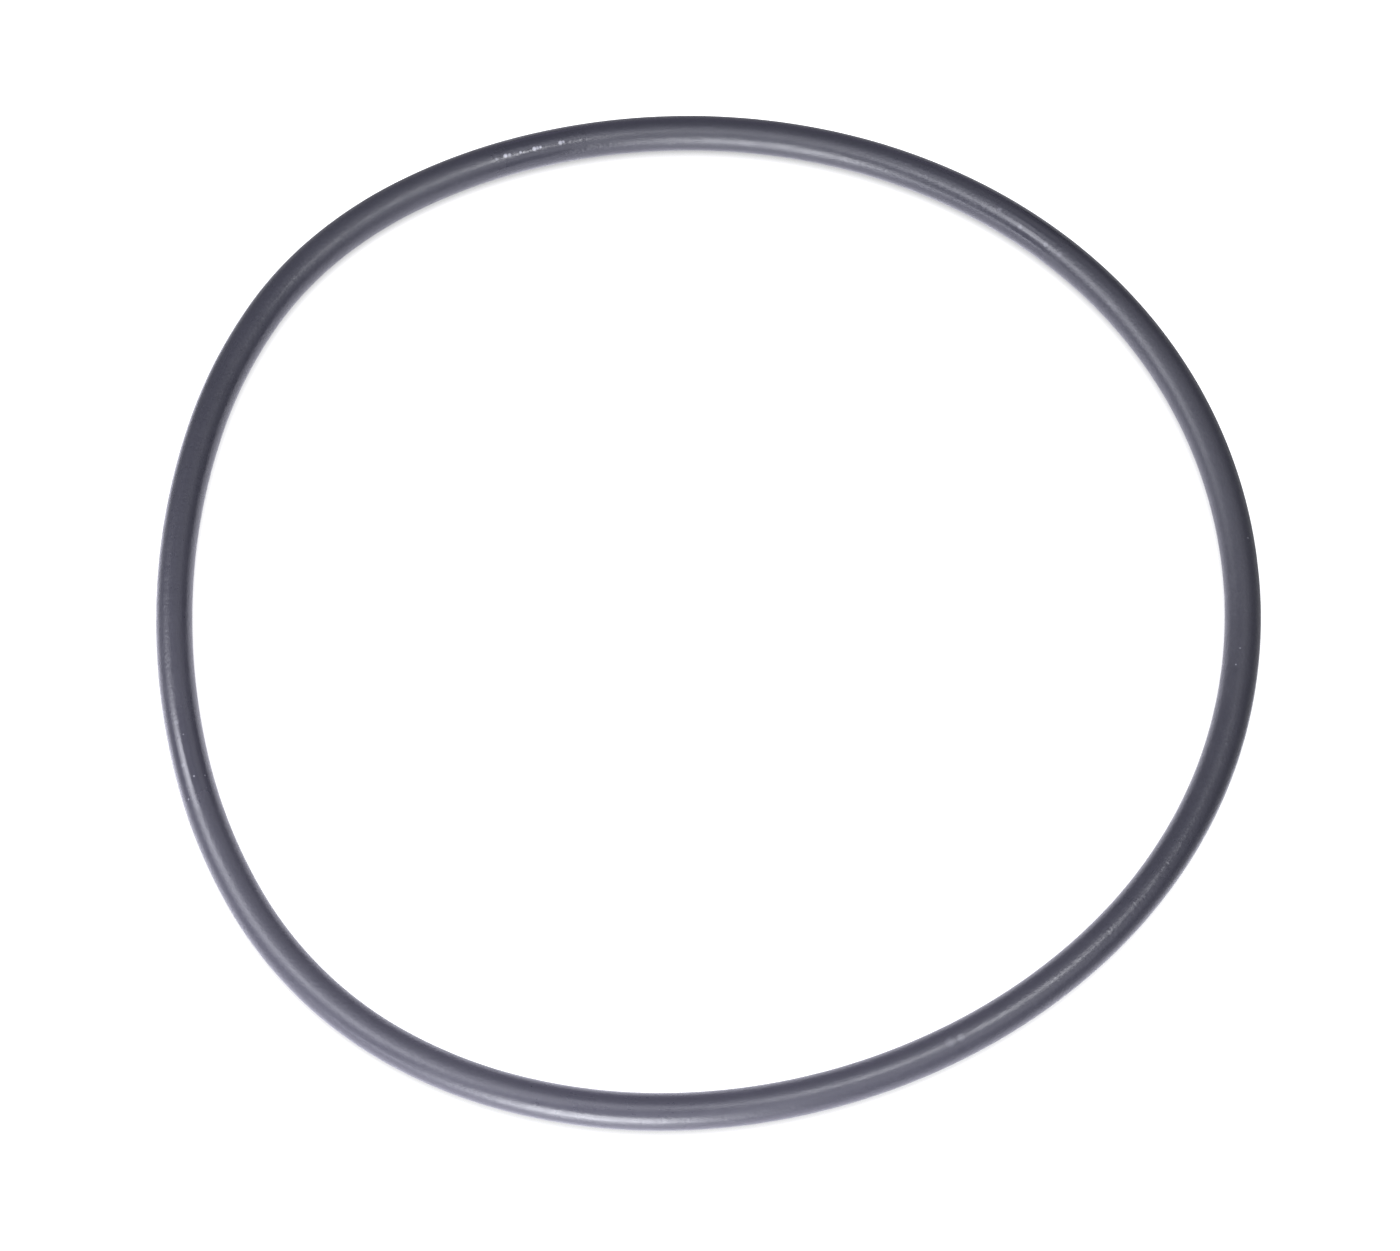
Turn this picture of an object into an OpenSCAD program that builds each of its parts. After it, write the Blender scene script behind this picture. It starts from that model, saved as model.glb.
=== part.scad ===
// Rubber o-ring, lying slack on a flat surface.
// Its section is a true circle all the way round. Its centre line is a closed chain of
// arcs, all turning through the same angle, each starting in the direction in which the
// last one ends. However far the lying ring strays from round, such a chain closes and
// keeps the length that the ring was moulded with.
// +X and +Y lie across the ring, +Z points up, and the ring rests on Z = 0.

/* [Ring] */
// Inside diameter of the ring when it is truly round
inside_diameter = 101.2; // [60:0.1:160]
// Diameter of the round section
section_diameter = 3.53; // [1.78:0.01:7]

/* [Lying shape] */
// How much of the flatness below the lying ring shows, where 0 is truly round
slackness = 1; // [0:0.05:1]
// How flat the two long sides of the oval are, as a share of the mean radius
oval_flatness = 0.013; // [0:0.001:0.15]
// Direction of a flat side of the oval, in degrees from +X
oval_direction = 140; // [0:1:180]
// How flat the three sides of the rounded triangle are
triangle_flatness = 0.147; // [0:0.001:0.25]
// Direction of a flat side of the triangle, in degrees from +X
triangle_direction = 64.5; // [0:0.5:120]
// How flat the four sides of the rounded square are
square_flatness = 0.16; // [0:0.001:0.25]
// Direction of a flat side of the square, in degrees from +X
square_direction = 5; // [0:0.5:90]
// How flat the five sides of the rounded pentagon are
pentagon_flatness = 0.056; // [0:0.001:0.1]
// Direction of a flat side of the pentagon, in degrees from +X
pentagon_direction = 34; // [0:0.5:72]
// How flat the six sides of the rounded hexagon are
hexagon_flatness = 0.037; // [0:0.001:0.05]
// Direction of a flat side of the hexagon, in degrees from +X
hexagon_direction = 58.5; // [0:0.5:60]

/* [Hidden] */
rubber_colour = "#4b4b58";
// Arcs in the chain: a multiple of four, so that joints lie at the ring's four extremes
arc_count = 24;
arc_turn = 360 / arc_count;
// Each arc reaches this far into the next one, in degrees, so that all become one solid
arc_lap = 0.01;
arc_facets = 72;
section_facets = 32;
mean_radius = (inside_diameter + section_diameter) / 2;
// The first arc starts at the ring's lowest Y and runs towards +X
first_outward = -90;
// Sides, flatness and direction of each shape that the lying ring is a mixture of
shapes = [
    [2, oval_flatness, oval_direction],
    [3, triangle_flatness, triangle_direction],
    [4, square_flatness, square_direction],
    [5, pentagon_flatness, pentagon_direction],
    [6, hexagon_flatness, hexagon_direction],
];

function sum(list, i = 0) = i == len(list) ? 0 : list[i] + sum(list, i + 1);

// Direction straight out of the ring, after so many arcs
function outward_angle(arcs) = first_outward + arcs * arc_turn;
function outward(arcs) = [cos(outward_angle(arcs)), sin(outward_angle(arcs))];

// The radius of an arc is larger where its middle faces the flat sides
function flatness(shape, angle) = shape[1] * cos(shape[0] * (angle - shape[2]));
function arc_radius(arc) =
    mean_radius * (1 + slackness * sum([for (s = shapes) flatness(s, outward_angle(arc + 0.5))]));
radii = [for (arc = [0:arc_count - 1]) arc_radius(arc)];

// Two arcs meet tangent to tangent, so both their centres lie on one line across the cord
function next_centre(arc, centre) = centre + (radii[arc] - radii[arc + 1]) * outward(arc + 1);
function centres_from(arc, centre) =
    arc == arc_count - 1 ? [centre] : concat([centre], centres_from(arc + 1, next_centre(arc, centre)));
centres = centres_from(0, [0, 0]);

// Point of the centre line where an arc starts
function joint(arc) = centres[arc] + radii[arc] * outward(arc);
front = joint(0);
right = joint(arc_count / 4);
back = joint(arc_count / 2);
left = joint(arc_count * 3 / 4);
middle = [(left.x + right.x) / 2, (front.y + back.y) / 2];

// Moves by whole microns first and then by the rest, so that no digit of a place is lost
// and each arc carries on exactly from the one before
module place(where) {
    whole = [for (x = where) round(x * 1000) / 1000];
    translate(whole)
        translate(where - whole)
            children();
}

module arc_of_cord(arc) {
    place(centres[arc] - middle)
        rotate_extrude(angle = arc_turn + arc_lap, start = outward_angle(arc), $fn = arc_facets)
            place([radii[arc], 0])
                circle(d = section_diameter, $fn = section_facets);
}

module o_ring() {
    color(rubber_colour)
        translate([0, 0, section_diameter / 2])
            for (arc = [0:arc_count - 1])
                arc_of_cord(arc);
}

o_ring();
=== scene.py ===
import math

import bpy
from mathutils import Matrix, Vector


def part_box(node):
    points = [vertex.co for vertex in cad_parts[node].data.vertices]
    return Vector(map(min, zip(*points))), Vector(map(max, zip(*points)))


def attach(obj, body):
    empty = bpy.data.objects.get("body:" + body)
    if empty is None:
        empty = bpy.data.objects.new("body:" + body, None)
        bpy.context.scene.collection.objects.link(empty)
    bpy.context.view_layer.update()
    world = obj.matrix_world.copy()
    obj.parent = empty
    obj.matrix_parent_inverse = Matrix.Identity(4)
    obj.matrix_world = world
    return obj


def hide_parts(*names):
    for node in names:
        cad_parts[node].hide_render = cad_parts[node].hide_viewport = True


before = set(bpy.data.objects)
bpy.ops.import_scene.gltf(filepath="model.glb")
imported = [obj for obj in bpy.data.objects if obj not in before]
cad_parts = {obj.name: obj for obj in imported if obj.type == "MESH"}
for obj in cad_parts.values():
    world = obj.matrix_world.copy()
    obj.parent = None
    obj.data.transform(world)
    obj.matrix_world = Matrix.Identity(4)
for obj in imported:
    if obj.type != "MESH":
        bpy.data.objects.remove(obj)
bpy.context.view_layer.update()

mm = 0.001


# Small helpers for node trees
def put(tree, kind, settings=None, inputs=None):
    node = tree.nodes.new(kind)
    for key, value in (settings or {}).items():
        setattr(node, key, value)
    for key, value in (inputs or {}).items():
        connect(tree, value, node.inputs[key])
    return node


def connect(tree, value, socket):
    if isinstance(value, bpy.types.NodeSocket):
        tree.links.new(value, socket)
    else:
        socket.default_value = value


def calc(tree, operation, *values):
    node = tree.nodes.new("ShaderNodeMath")
    node.operation = operation
    for value, socket in zip(values, node.inputs):
        connect(tree, value, socket)
    return node.outputs[0]


def vectorCalc(tree, operation, *values):
    node = tree.nodes.new("ShaderNodeVectorMath")
    node.operation = operation
    for value, socket in zip(values, node.inputs):
        connect(tree, value, socket)
    return node.outputs["Value" if operation in ("LENGTH", "DISTANCE", "DOT_PRODUCT") else "Vector"]


def scaled(tree, vector, factor):
    node = put(tree, "ShaderNodeVectorMath", {"operation": "SCALE"}, {"Vector": vector, "Scale": factor})
    return node.outputs["Vector"]


def combine(tree, x, y, z):
    return put(tree, "ShaderNodeCombineXYZ", None, {"X": x, "Y": y, "Z": z}).outputs["Vector"]


def parts(tree, vector):
    return put(tree, "ShaderNodeSeparateXYZ", None, {"Vector": vector}).outputs


def fadeOut(tree, off):
    # 1 in the middle of a spot, 0 at its rim and beyond
    fall = calc(tree, "SUBTRACT", 1.0, calc(tree, "MULTIPLY", off, off))
    return calc(tree, "MAXIMUM", fall, 0.0)


def spotShare(tree, where, place, reach):
    far = vectorCalc(tree, "DISTANCE", where, place)
    return fadeOut(tree, calc(tree, "DIVIDE", far, reach))


def noise(tree, where, size, detail, roughness):
    inputs = {"Vector": where, "Scale": 1 / size, "Detail": detail, "Roughness": roughness}
    return put(tree, "ShaderNodeTexNoise", None, inputs).outputs[0]


def mixColours(tree, share, first, second, blend="MIX"):
    settings = {"data_type": "RGBA", "blend_type": blend}
    return put(tree, "ShaderNodeMix", settings, {0: share, 6: first, 7: second}).outputs[2]


def mixShaders(tree, share, first, second):
    return put(tree, "ShaderNodeMixShader", None, {0: share, 1: first, 2: second}).outputs["Shader"]


def output(node, name):
    return [socket for socket in node.outputs if socket.name == name and socket.enabled][0]


def enabledInput(node, name):
    return [socket for socket in node.inputs if socket.name == name and socket.enabled][0]


def emptyTree(owner):
    owner.use_nodes = True
    owner.node_tree.nodes.clear()
    return owner.node_tree


def arrange(tree):
    # Columns from left to right in the order in which the nodes feed each other
    column = {}
    for node in tree.nodes:
        column[node.name] = 0
    for step in range(len(tree.nodes)):
        moved = False
        for wire in tree.links:
            least = column[wire.from_node.name] + 1
            if column[wire.to_node.name] < least:
                column[wire.to_node.name] = least
                moved = True
        if not moved:
            break
    filled = {}
    for node in tree.nodes:
        place = column[node.name]
        filled[place] = filled.get(place, 0) + 1
        node.location = (place * 190, -filled[place] * 170)


def addObject(name, data):
    thing = bpy.data.objects.new(name, data)
    bpy.context.scene.collection.objects.link(thing)
    return thing


# The ring: the same rule as in the part's source, run by Geometry Nodes
ringLook = {
    "insideDiameter": 101.2 * mm,
    "slackness": 1.0,
    "arcs": 24,
    "stepsPerArc": 50,
    "stepsAcross": 64,
    "waveHeight": 0.012 * mm,
    "waveLength": 3.5 * mm,
    "seed": 7,
}
# Name, number of flat sides, flatness, direction of a flat side in degrees
flatSides = [
    ("Oval", 2, 0.013, 140.0),
    ("Triangle", 3, 0.147, 64.5),
    ("Square", 4, 0.16, 5.0),
    ("Pentagon", 5, 0.056, 34.0),
    ("Hexagon", 6, 0.037, 58.5),
]
# Shallow marks in the surface, in millimetres: where, the direction that they are measured along,
# width, depth and reach
ringMarks = [
    ((52.0, 2.6, 3.4), (0.66, -0.75, 0.0), 0.25, 0.016, 4.0),  # mould joint, front line
    ((51.9, 1.7, 3.4), (0.66, -0.75, 0.0), 0.25, 0.016, 4.0),  # mould joint, back line
    ((23.6, -45.7, 3.3), (0.90, 0.44, 0.0), 0.35, 0.030, 1.6),  # dent
]


def ringInputs(tree, sectionDiameter):
    sockets = [
        ("Mean Radius", "NodeSocketFloat", (ringLook["insideDiameter"] + sectionDiameter) / 2),
        ("Section Diameter", "NodeSocketFloat", sectionDiameter),
        ("Slackness", "NodeSocketFloat", ringLook["slackness"]),
        ("Arcs", "NodeSocketInt", ringLook["arcs"]),
        ("Steps per Arc", "NodeSocketInt", ringLook["stepsPerArc"]),
        ("Steps Across", "NodeSocketInt", ringLook["stepsAcross"]),
        ("Wave Height", "NodeSocketFloat", ringLook["waveHeight"]),
        ("Wave Length", "NodeSocketFloat", ringLook["waveLength"]),
        ("Seed", "NodeSocketFloat", float(ringLook["seed"])),
    ]
    for name, sides, flatness, direction in flatSides:
        sockets.append((name + " Flatness", "NodeSocketFloat", flatness))
        sockets.append((name + " Direction", "NodeSocketFloat", math.radians(direction)))
    values = {}
    for name, kind, value in sockets:
        socket = tree.interface.new_socket(name, in_out="INPUT", socket_type=kind)
        values[socket.identifier] = value
    tree.interface.new_socket("Material", in_out="INPUT", socket_type="NodeSocketMaterial")
    tree.interface.new_socket("Ring", in_out="OUTPUT", socket_type="NodeSocketGeometry")
    return values


def arcRadius(tree, given, outward):
    # The radius of an arc is larger where its middle faces the flat sides
    total = 0.0
    for name, sides, flatness, direction in flatSides:
        off = calc(tree, "SUBTRACT", outward, given[name + " Direction"])
        wave = calc(tree, "COSINE", calc(tree, "MULTIPLY", off, float(sides)))
        total = calc(tree, "MULTIPLY_ADD", wave, given[name + " Flatness"], total)
    share = calc(tree, "MULTIPLY_ADD", total, given["Slackness"], 1.0)
    return calc(tree, "MULTIPLY", share, given["Mean Radius"])


def layPoints(tree, given, index, arcTurn, stepTurn):
    # One short step after another, each turned a little from the last one
    quarter = math.pi / 2
    arc = calc(tree, "FLOOR", calc(tree, "DIVIDE", calc(tree, "ADD", index, 0.5), given["Steps per Arc"]))
    arcMiddle = calc(tree, "MULTIPLY", calc(tree, "ADD", arc, 0.5), arcTurn)
    stepMiddle = calc(tree, "MULTIPLY", calc(tree, "ADD", index, 0.5), stepTurn)
    stepOutward = calc(tree, "SUBTRACT", stepMiddle, quarter)
    radius = arcRadius(tree, given, calc(tree, "SUBTRACT", arcMiddle, quarter))
    halfStep = calc(tree, "SINE", calc(tree, "DIVIDE", stepTurn, 2.0))
    chord = calc(tree, "MULTIPLY", radius, calc(tree, "MULTIPLY", 2.0, halfStep))
    heading = combine(
        tree,
        calc(tree, "MULTIPLY", calc(tree, "SINE", stepOutward), -1.0),
        calc(tree, "COSINE", stepOutward),
        0.0,
    )
    walk = put(
        tree,
        "GeometryNodeAccumulateField",
        {"data_type": "FLOAT_VECTOR", "domain": "POINT"},
        {"Value": scaled(tree, heading, chord)},
    )
    count = calc(tree, "MULTIPLY", given["Arcs"], given["Steps per Arc"])
    line = put(tree, "GeometryNodeMeshLine", {"mode": "OFFSET"}, {"Count": count})
    laid = put(
        tree,
        "GeometryNodeSetPosition",
        None,
        {"Geometry": line.outputs["Mesh"], "Position": output(walk, "Trailing")},
    )
    return laid.outputs["Geometry"]


def centrePoints(tree, given, points):
    # Their box is centred on the origin, and their middle is half a section above the floor
    where = put(tree, "GeometryNodeInputPosition").outputs["Position"]
    extremes = put(
        tree,
        "GeometryNodeAttributeStatistic",
        {"data_type": "FLOAT_VECTOR", "domain": "POINT"},
        {"Geometry": points},
    )
    connect(tree, where, enabledInput(extremes, "Attribute"))
    middle = scaled(tree, vectorCalc(tree, "ADD", output(extremes, "Min"), output(extremes, "Max")), -0.5)
    lift = combine(tree, 0.0, 0.0, calc(tree, "DIVIDE", given["Section Diameter"], 2.0))
    centred = put(
        tree,
        "GeometryNodeSetPosition",
        None,
        {"Geometry": points, "Offset": vectorCalc(tree, "ADD", middle, lift)},
    )
    return centred.outputs["Geometry"]


def centreLine(tree, given):
    index = put(tree, "GeometryNodeInputIndex").outputs["Index"]
    arcTurn = calc(tree, "DIVIDE", math.tau, given["Arcs"])
    stepTurn = calc(tree, "DIVIDE", arcTurn, given["Steps per Arc"])
    points = centrePoints(tree, given, layPoints(tree, given, index, arcTurn, stepTurn))
    curve = put(tree, "GeometryNodeMeshToCurve", None, {"Mesh": points})
    closed = put(
        tree,
        "GeometryNodeSetSplineCyclic",
        None,
        {"Geometry": curve.outputs["Curve"], "Cyclic": True},
    )
    upright = put(
        tree,
        "GeometryNodeSetCurveNormal",
        {"mode": "Z_UP"},
        {"Curve": closed.outputs["Geometry"]},
    )
    # Place along the ring, for patterns that follow the cord without a seam
    turned = calc(tree, "MULTIPLY", index, stepTurn)
    circle = combine(tree, calc(tree, "COSINE", turned), calc(tree, "SINE", turned), 0.0)
    named = put(
        tree,
        "GeometryNodeStoreNamedAttribute",
        {"data_type": "FLOAT_VECTOR", "domain": "POINT"},
        {"Geometry": upright.outputs["Curve"], "Name": "alongRing"},
    )
    connect(tree, scaled(tree, circle, given["Mean Radius"]), enabledInput(named, "Value"))
    return named.outputs["Geometry"]


def relief(tree, given, geometry):
    # All of it goes inwards
    where = put(tree, "GeometryNodeInputPosition").outputs["Position"]
    normal = put(tree, "GeometryNodeInputNormal").outputs["Normal"]
    waves = put(
        tree,
        "ShaderNodeTexNoise",
        {"noise_dimensions": "4D"},
        {
            "Vector": where,
            "W": given["Seed"],
            "Scale": calc(tree, "DIVIDE", 1.0, given["Wave Length"]),
            "Detail": 2.0,
            "Roughness": 0.5,
        },
    ).outputs[0]
    depth = calc(tree, "MULTIPLY", calc(tree, "SUBTRACT", waves, 1.0), given["Wave Height"])
    for place, along, width, sink, reach in ringMarks:
        off = vectorCalc(tree, "SUBTRACT", where, [value * mm for value in place])
        across = calc(tree, "DIVIDE", vectorCalc(tree, "DOT_PRODUCT", off, along), width * mm)
        bell = calc(tree, "EXPONENT", calc(tree, "MULTIPLY", calc(tree, "MULTIPLY", across, across), -1.0))
        far = calc(tree, "DIVIDE", vectorCalc(tree, "LENGTH", off), reach * mm)
        shape = calc(tree, "MULTIPLY", bell, fadeOut(tree, far))
        depth = calc(tree, "MULTIPLY_ADD", shape, -sink * mm, depth)
    moved = put(
        tree,
        "GeometryNodeSetPosition",
        None,
        {"Geometry": geometry, "Offset": scaled(tree, normal, depth)},
    )
    return moved.outputs["Geometry"]


def makeRingTree(sectionDiameter):
    tree = bpy.data.node_groups.new("layRing", "GeometryNodeTree")
    values = ringInputs(tree, sectionDiameter)
    given = put(tree, "NodeGroupInput").outputs
    curve = centreLine(tree, given)
    profile = put(
        tree,
        "GeometryNodeCurvePrimitiveCircle",
        {"mode": "RADIUS"},
        {
            "Resolution": given["Steps Across"],
            "Radius": calc(tree, "DIVIDE", given["Section Diameter"], 2.0),
        },
    )
    section = put(
        tree,
        "GeometryNodeStoreNamedAttribute",
        {"data_type": "FLOAT_VECTOR", "domain": "POINT"},
        {"Geometry": profile.outputs["Curve"], "Name": "acrossCord"},
    )
    where = put(tree, "GeometryNodeInputPosition").outputs["Position"]
    connect(tree, where, enabledInput(section, "Value"))
    swept = put(
        tree,
        "GeometryNodeCurveToMesh",
        None,
        {"Curve": curve, "Profile Curve": section.outputs["Geometry"]},
    )
    shaped = relief(tree, given, swept.outputs["Mesh"])
    smooth = put(tree, "GeometryNodeSetShadeSmooth", None, {"Geometry": shaped})
    realised = put(tree, "GeometryNodeRealizeInstances", None, {"Geometry": smooth.outputs["Geometry"]})
    painted = put(
        tree,
        "GeometryNodeSetMaterial",
        None,
        {"Geometry": realised.outputs["Geometry"], "Material": given["Material"]},
    )
    put(tree, "NodeGroupOutput", None, {"Ring": painted.outputs["Geometry"]})
    arrange(tree)
    return tree, values


def makeRing(material):
    low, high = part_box("o_ring")
    tree, values = makeRingTree(high.z - low.z)
    rule = addObject("ringRule", bpy.data.meshes.new("ringRule"))
    modifier = rule.modifiers.new("layRing", "NODES")
    modifier.node_group = tree
    for identifier, value in values.items():
        modifier[identifier] = value
    for item in tree.interface.items_tree:
        if item.name == "Material":
            modifier[item.identifier] = material
    bpy.context.view_layer.update()
    graph = bpy.context.evaluated_depsgraph_get()
    mesh = bpy.data.meshes.new_from_object(rule.evaluated_get(graph))
    mesh.name = "rubberRing"
    bpy.data.objects.remove(rule)
    return addObject("rubberRing", mesh)


# Rubber: near black, satin, with a fine grain
rubberLook = {
    "dark": (0.0188, 0.0188, 0.0248),
    "light": (0.0218, 0.0218, 0.0292),
    # Painted sheen: a paler tone added on the side that faces the front lamps
    "paintedSheen": (0.0215, 0.0205, 0.0258),
    "paintedSheenDirection": 246.0,
    "paintedSheenFalloff": 1.2,
    "roughness": 0.29,
    "paintedSheenRoughness": 0.08,
    "leastRoughness": 0.14,
    "roughnessSpread": 0.09,
    "ior": 1.5,
    "grainSize": 0.32 * mm,
    "grainDepth": 0.021 * mm,
    "grainShade": 1.6,
    "grainRubbedAway": 7.0,
    "streakLength": 2.4 * mm,
    "streakWidth": 0.22 * mm,
    "streakDepth": 0.006 * mm,
    "pipSpacing": 0.9 * mm,
    "pipWidth": 0.34 * mm,
    "pipHeight": 0.006 * mm,
    "pipsLeftOut": 0.6,
    "cloudSize": 9.0 * mm,
    "patchSize": 1.3 * mm,
    "patchSpread": 0.18,
    "dustAndGlintColour": (0.34, 0.34, 0.37),
}
# Spots that are rubbed smoother or rougher, in millimetres: where, how far they reach, and the
# change in roughness
rubbedSpots = [
    ((-17.5, 49.4, 3.5), 6.5, -0.06),
    ((33.2, 40.6, 3.5), 4.0, -0.10),
    ((-50.0, -17.0, 3.5), 6.5, -0.13),
    ((26.0, -45.0, 3.5), 15.0, 0.03),
    ((-9.0, -51.0, 2.5), 12.0, -0.08),
    ((2.0, 50.0, 1.5), 18.0, 0.10),
    ((-32.0, 42.0, 3.5), 14.0, 0.14),
    ((48.0, 10.0, 2.0), 34.0, 0.15),
]
# Specks of dust and pale smudges, and pale specks painted along the top highlight line as painted glints, in
# millimetres: where, to a tenth, their reach and how strong
dustAndGlintSpots = [
    ((50.6, -7.5, 3.5), 0.10, 0.35),
    ((51.1, -5.8, 3.5), 0.10, 0.35),
    ((52.4, 6.0, 3.2), 0.10, 0.35),
    ((-50.1, -14.8, 3.5), 0.10, 0.35),
    ((-48.9, -19.1, 3.5), 0.12, 0.45),
    ((-47.9, -18.9, 3.2), 0.10, 0.35),
    ((-49.4, -21.3, 3.1), 0.12, 0.40),
    ((-50.8, -13.5, 3.4), 0.30, 0.12),
    ((-50.0, -17.9, 3.3), 0.25, 0.12),
    # From here to the next group: pale specks along the top highlight line, painted glints rather than dust
    ((-21.3, 48.0, 3.4), 0.16, 0.35),
    ((-20.4, 48.4, 3.4), 0.24, 0.70),
    ((-20.0, 48.5, 3.4), 0.20, 0.45),
    ((-18.9, 48.8, 3.4), 0.17, 0.50),
    ((-17.5, 49.2, 3.4), 0.25, 0.70),
    ((-17.2, 49.3, 3.4), 0.20, 0.50),
    ((-16.9, 49.4, 3.4), 0.17, 0.55),
    ((-14.9, 49.9, 3.4), 0.24, 0.65),
    ((-14.6, 50.0, 3.4), 0.18, 0.40),
    ((29.2, 42.2, 3.4), 0.30, 0.10),
    ((31.2, 40.3, 3.3), 0.30, 0.12),
    ((33.7, 38.3, 3.3), 0.30, 0.12),
    ((35.0, 37.2, 3.3), 0.35, 0.10),
    ((23.4, -45.3, 3.5), 0.45, 0.12),
    ((22.4, -45.7, 3.5), 0.60, 0.09),
]


def cordStreaks(tree):
    # Streaks that run along the cord
    along = put(tree, "ShaderNodeAttribute", {"attribute_name": "alongRing"}).outputs["Vector"]
    across = put(tree, "ShaderNodeAttribute", {"attribute_name": "acrossCord"}).outputs["Vector"]
    alongParts = parts(tree, scaled(tree, along, 1 / rubberLook["streakLength"]))
    acrossParts = parts(tree, scaled(tree, across, 1 / rubberLook["streakWidth"]))
    return put(
        tree,
        "ShaderNodeTexNoise",
        {"noise_dimensions": "4D"},
        {
            "Vector": combine(tree, alongParts["X"], alongParts["Y"], acrossParts["X"]),
            "W": acrossParts["Y"],
            "Scale": 1.0,
            "Detail": 2.0,
            "Roughness": 0.5,
        },
    ).outputs[0]


def pips(tree, where):
    # Low domes, on some of the cells
    look = rubberLook
    cell = put(tree, "ShaderNodeTexVoronoi", None, {"Vector": where, "Scale": 1 / look["pipSpacing"]})
    chosen = put(tree, "ShaderNodeSeparateColor", None, {"Color": cell.outputs["Color"]}).outputs["Red"]
    radius = look["pipWidth"] / look["pipSpacing"] / 2
    dome = fadeOut(tree, calc(tree, "DIVIDE", cell.outputs["Distance"], radius))
    return calc(tree, "MULTIPLY", dome, calc(tree, "GREATER_THAN", chosen, look["pipsLeftOut"]))


def rubbedChange(tree, where):
    total = 0.0
    for spot, reach, change in rubbedSpots:
        share = spotShare(tree, where, [value * mm for value in spot], reach * mm)
        total = calc(tree, "MULTIPLY_ADD", share, change, total)
    return total


def dustAndGlintShare(tree, where, grain, ring):
    # Each spot, a dust speck or a painted glint, sits at the ring's nearest place, and the grain breaks it up
    total = 0.0
    for spot, reach, strength in dustAndGlintSpots:
        place = ring.closest_point_on_mesh([value * mm for value in spot])[1]
        share = spotShare(tree, where, place, reach * mm)
        total = calc(tree, "MAXIMUM", total, calc(tree, "MULTIPLY", share, strength))
    return calc(tree, "MULTIPLY", total, calc(tree, "ADD", grain, 0.5))


def paintedSheenShare(tree, where):
    # A paler tone is painted on one side of the ring, most of all round one direction: painted sheen standing
    # in for the light from the front lamps
    turn = math.radians(rubberLook["paintedSheenDirection"])
    outward = vectorCalc(tree, "NORMALIZE", vectorCalc(tree, "MULTIPLY", where, (1.0, 1.0, 0.0)))
    aside = vectorCalc(tree, "DOT_PRODUCT", outward, (math.cos(turn), math.sin(turn), 0.0))
    return calc(tree, "POWER", calc(tree, "MAXIMUM", aside, 0.0), rubberLook["paintedSheenFalloff"])


def paintRubber(material, ring):
    bpy.context.view_layer.update()  # so that the ring can tell its nearest places
    look = rubberLook
    tree = emptyTree(material)
    where = put(tree, "ShaderNodeTexCoord").outputs["Object"]
    cloud = noise(tree, where, look["cloudSize"], 4.0, 0.6)
    grain = noise(tree, where, look["grainSize"], 1.0, 0.5)
    patch = noise(tree, where, look["patchSize"], 2.0, 0.6)
    streak = cordStreaks(tree)
    paintedSheen = paintedSheenShare(tree, where)
    rubbed = rubbedChange(tree, where)
    # Colour
    bodyShare = calc(tree, "MULTIPLY_ADD", calc(tree, "SUBTRACT", grain, 0.5), look["grainShade"], cloud)
    body = mixColours(tree, bodyShare, (*look["dark"], 1), (*look["light"], 1))
    # Painted sheen: the paler tone added on the side of the ring that faces the front lamps
    withPaintedSheen = mixColours(tree, paintedSheen, body, (*look["paintedSheen"], 1), "ADD")
    # Pale dust specks, and pale painted glints on the top highlight line
    colour = mixColours(tree, dustAndGlintShare(tree, where, grain, ring), withPaintedSheen, (*look["dustAndGlintColour"], 1))
    # Roughness
    uneven = calc(tree, "SUBTRACT", calc(tree, "ADD", cloud, streak), 1.0)
    roughness = calc(tree, "MULTIPLY_ADD", uneven, look["roughnessSpread"], look["roughness"])
    roughness = calc(tree, "MULTIPLY_ADD", calc(tree, "SUBTRACT", patch, 0.5), look["patchSpread"], roughness)
    roughness = calc(tree, "MULTIPLY_ADD", paintedSheen, look["paintedSheenRoughness"], roughness)
    roughness = calc(tree, "MAXIMUM", calc(tree, "ADD", rubbed, roughness), look["leastRoughness"])
    # Height: where the rubber is rubbed smooth, the grain is shallower too
    kept = calc(tree, "MINIMUM", calc(tree, "MULTIPLY_ADD", rubbed, look["grainRubbedAway"], 1.0), 1.0)
    height = calc(tree, "MULTIPLY", grain, look["grainDepth"])
    height = calc(tree, "MULTIPLY_ADD", streak, look["streakDepth"], height)
    height = calc(tree, "MULTIPLY", height, kept)
    height = calc(tree, "MULTIPLY_ADD", pips(tree, where), look["pipHeight"], height)
    bump = put(tree, "ShaderNodeBump", None, {"Strength": 1.0, "Distance": 1.0, "Height": height})
    shader = put(
        tree,
        "ShaderNodeBsdfPrincipled",
        None,
        {"Base Color": colour, "Roughness": roughness, "IOR": look["ior"], "Normal": bump.outputs["Normal"]},
    )
    put(tree, "ShaderNodeOutputMaterial", None, {"Surface": shader.outputs["BSDF"]})
    arrange(tree)


# Floor and light
studio = {
    "floorSize": 8.0,
    "floorColour": (1.0, 1.0, 1.02),
    "floorLevel": 2.05,
    # Painted shade on the floor seen directly: the side that it takes its light from, its reach and samples
    "paintedShadeLightFrom": (-0.12, 0.32, 0.94),
    "shadeReach": 12.0 * mm,
    "shadeSamples": 16,
    "floorRoughness": 0.25,
    # The floor as the ring mirrors it: a glowing painted pool of light, and painted shade outside it
    "mirroredColour": (0.87, 0.86, 0.92),
    "shadedColour": (0.335, 0.335, 0.34),
    "mirroredGlow": 0.48,
    "paintedPoolMiddle": (-4.0 * mm, -4.5 * mm, 0.0),
    "paintedPoolRadius": 58.5 * mm,
    "paintedPoolFade": 1.5 * mm,
    "roomColour": (0.97, 0.97, 1.16),
    "roomLevel": 0.31,
    "roomSlope": (-0.185, -0.14, 0.215),
    "leastRoom": 0.02,
}


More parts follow.
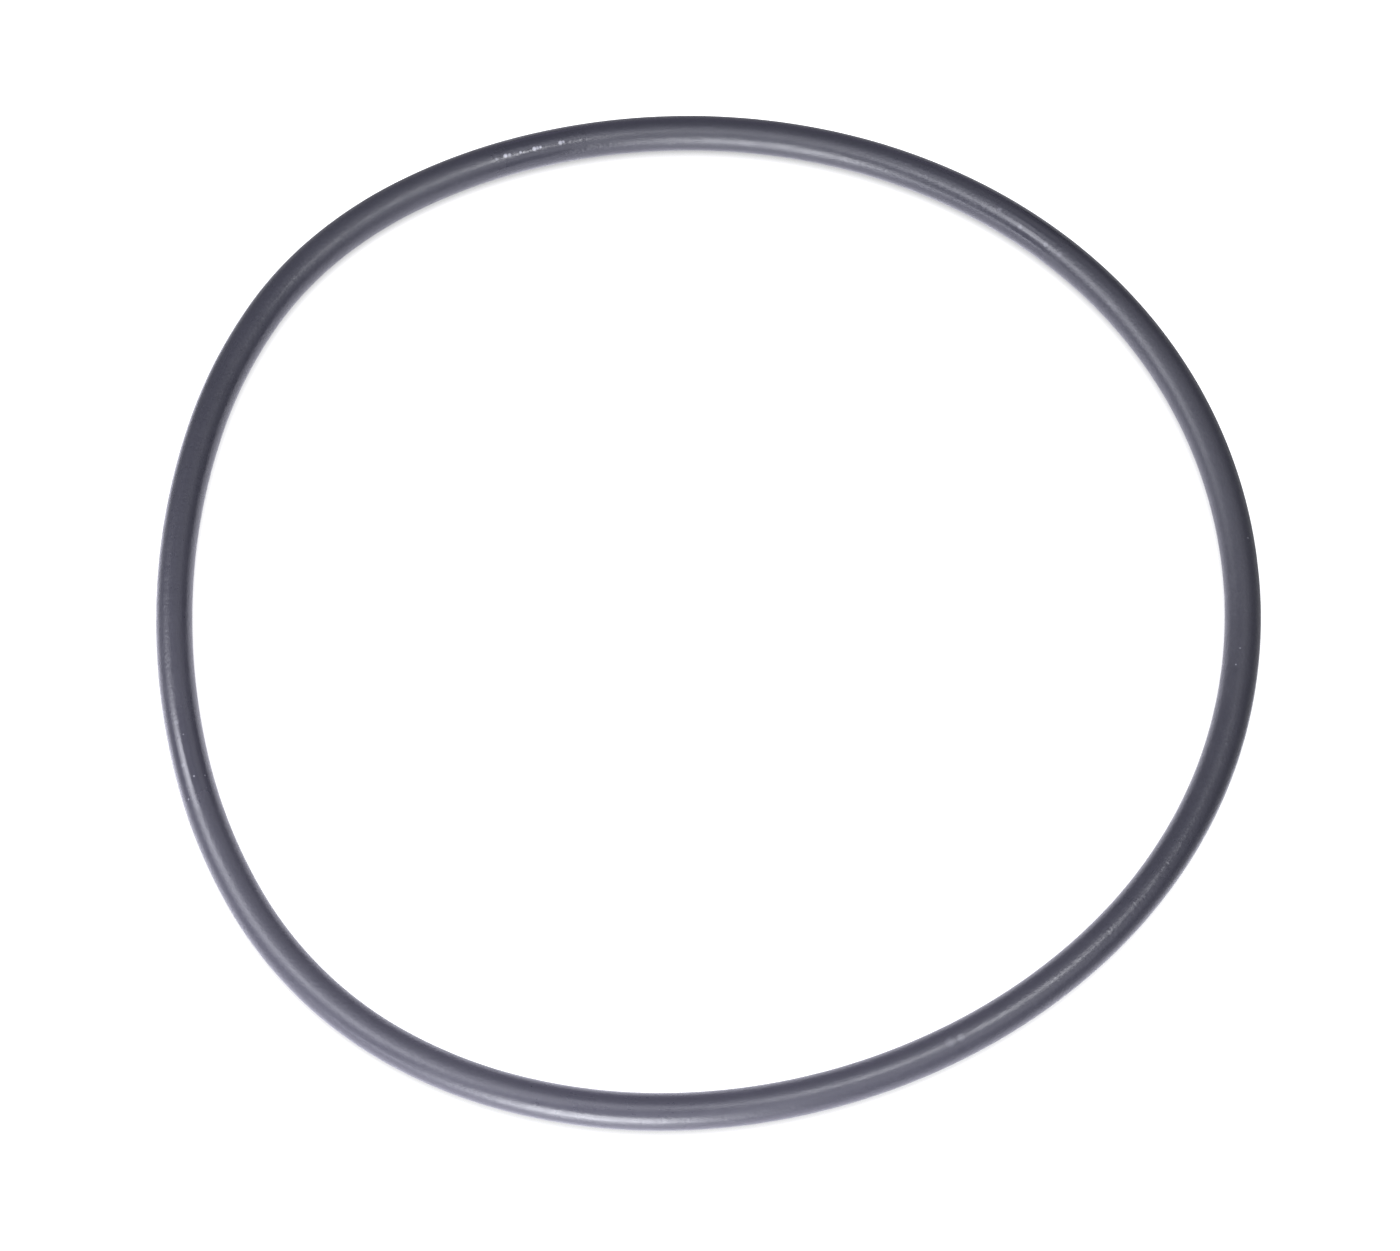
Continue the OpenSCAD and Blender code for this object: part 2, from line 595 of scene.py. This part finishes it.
def mirroredFloor(tree):
    # What the ring mirrors of the floor is a painted pool of light round the middle, which glows, with
    # painted shade beyond its rim
    where = put(tree, "ShaderNodeTexCoord").outputs["Object"]
    share = put(
        tree,
        "ShaderNodeMapRange",
        {"interpolation_type": "SMOOTHSTEP"},
        {
            "Value": vectorCalc(tree, "DISTANCE", where, studio["paintedPoolMiddle"]),
            "From Min": studio["paintedPoolRadius"] - studio["paintedPoolFade"],
            "From Max": studio["paintedPoolRadius"] + studio["paintedPoolFade"],
        },
    ).outputs["Result"]
    paintedPoolAndShade = mixColours(tree, share, (*studio["mirroredColour"], 1), (*studio["shadedColour"], 1))
    mirrored = put(
        tree,
        "ShaderNodeBsdfPrincipled",
        None,
        {
            "Base Color": paintedPoolAndShade,
            "Roughness": studio["floorRoughness"],
            "Emission Color": paintedPoolAndShade,
            "Emission Strength": studio["mirroredGlow"],
        },
    )
    return mirrored.outputs["BSDF"]


def paintedShadeFloor(tree):
    # Seen directly, the floor is an even glow, darkened by ambient occlusion only where the ring overhangs:
    # painted shade standing in for the ring's contact shadow
    openness = put(
        tree,
        "ShaderNodeAmbientOcclusion",
        {"samples": studio["shadeSamples"]},
        {"Distance": studio["shadeReach"], "Normal": studio["paintedShadeLightFrom"]},
    )
    level = calc(tree, "MULTIPLY", openness.outputs["AO"], studio["floorLevel"])
    glowWithPaintedShade = put(
        tree,
        "ShaderNodeEmission",
        None,
        {"Color": (*studio["floorColour"], 1), "Strength": level},
    )
    return glowWithPaintedShade.outputs["Emission"]


def makeFloor():
    half = studio["floorSize"] / 2
    corners = [(-half, -half, 0), (half, -half, 0), (half, half, 0), (-half, half, 0)]
    mesh = bpy.data.meshes.new("floor")
    mesh.from_pydata(corners, [], [(0, 1, 2, 3)])
    floor = addObject("floor", mesh)
    material = bpy.data.materials.new("paleFloor")
    tree = emptyTree(material)
    seen = put(tree, "ShaderNodeLightPath").outputs["Is Camera Ray"]
    surface = mixShaders(tree, seen, mirroredFloor(tree), paintedShadeFloor(tree))
    put(tree, "ShaderNodeOutputMaterial", None, {"Surface": surface})
    arrange(tree)
    mesh.materials.append(material)


def towards(azimuth, elevation):
    turn, rise = math.radians(azimuth), math.radians(elevation)
    return Vector((math.cos(rise) * math.cos(turn), math.cos(rise) * math.sin(turn), math.sin(rise)))


# Name, azimuth and elevation from the ring in degrees, distance in metres, width and height in
# degrees, brightness, colour
softBoxes = [
    ("frontWindow", 259.0, 11.5, 0.90, 26.0, 35.0, 15.5, (0.94, 0.95, 1.0)),
    ("frontPanel", 305.0, 45.0, 0.80, 50.0, 30.0, 1.5, (0.90, 0.91, 1.0)),
    ("frontGlow", 246.0, 4.5, 0.90, 70.0, 8.0, 8.0, (0.90, 0.91, 1.0)),
    ("leftPanelHigh", 210.0, 60.0, 0.60, 22.0, 27.0, 7.0, (0.92, 0.93, 1.0)),
    ("leftPanelLow", 183.0, 38.5, 0.60, 35.0, 34.0, 4.6, (0.92, 0.93, 1.0)),
    ("topLamp", 334.0, 71.0, 0.34, 18.0, 14.0, 17.5, (0.95, 0.96, 1.0)),
    ("ceiling", 129.0, 84.0, 0.70, 21.0, 24.0, 2.2, (0.90, 0.91, 1.0)),
    ("rightPanel", 52.0, 50.0, 0.70, 32.0, 28.0, 0.6, (0.92, 0.92, 1.0)),
    ("leftLamp", 178.5, 36.5, 0.19, 16.0, 17.5, 7.0, (0.92, 0.92, 1.0)),
    ("rightLow", 357.0, 40.0, 0.70, 40.0, 26.0, 0.3, (0.92, 0.92, 1.0)),
    ("backGlow", 86.0, 14.0, 0.50, 36.0, 16.0, 0.52, (0.70, 0.60, 1.0)),
]


def makeLights():
    for name, azimuth, elevation, distance, width, height, brightness, colour in softBoxes:
        light = bpy.data.lights.new(name, "AREA")
        light.shape = "RECTANGLE"
        light.size = 2 * distance * math.tan(math.radians(width / 2))
        light.size_y = 2 * distance * math.tan(math.radians(height / 2))
        light.color = colour
        light.energy = brightness * math.pi * light.size * light.size_y
        lamp = addObject(name, light)
        direction = towards(azimuth, elevation)
        lamp.location = direction * distance
        lamp.rotation_euler = direction.to_track_quat("Z", "Y").to_euler()
        lamp.visible_camera = False


def makeRoom():
    world = bpy.data.worlds.new("room")
    tree = emptyTree(world)
    # The room is lighter on one side, and lightest overhead
    where = put(tree, "ShaderNodeTexCoord").outputs["Generated"]
    slope = vectorCalc(tree, "DOT_PRODUCT", where, studio["roomSlope"])
    level = calc(tree, "MAXIMUM", calc(tree, "ADD", slope, studio["roomLevel"]), studio["leastRoom"])
    room = put(tree, "ShaderNodeBackground", None, {"Color": (*studio["roomColour"], 1), "Strength": level})
    pale = put(tree, "ShaderNodeBackground", None, {"Color": (1, 1, 1, 1), "Strength": 1.0})
    seen = put(tree, "ShaderNodeLightPath").outputs["Is Camera Ray"]
    surface = mixShaders(tree, seen, room.outputs["Background"], pale.outputs["Background"])
    put(tree, "ShaderNodeOutputWorld", None, {"Surface": surface})
    arrange(tree)
    bpy.context.scene.world = world


# Camera: from the front and high up, as the photograph was taken
cameraView = {
    "elevation": 66.0,
    "distance": 469.2 * mm,
    "aim": (-0.82 * mm, -2.66 * mm, 1.77 * mm),
    "lens": 124.74,
    "sensorWidth": 36.0,
    "nearest": 10.0 * mm,
}


def makeCamera():
    camera = addObject("camera", bpy.data.cameras.new("camera"))
    camera.data.lens = cameraView["lens"]
    camera.data.sensor_width = cameraView["sensorWidth"]
    camera.data.sensor_fit = "HORIZONTAL"
    camera.data.clip_start = cameraView["nearest"]
    direction = towards(270, cameraView["elevation"])
    camera.location = Vector(cameraView["aim"]) + direction * cameraView["distance"]
    camera.rotation_euler = direction.to_track_quat("Z", "Y").to_euler()
    bpy.context.scene.camera = camera


makeCamera()
print("camera placed")
rubber = bpy.data.materials.new("satinRubber")
ring = makeRing(rubber)
print("ring laid:", len(ring.data.polygons), "faces")
paintRubber(rubber, ring)
print("rubber painted")
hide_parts("o_ring")
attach(ring, "root")
makeFloor()
makeLights()
makeRoom()
bpy.context.scene.view_settings.view_transform = "Standard"
print("floor and lights set")
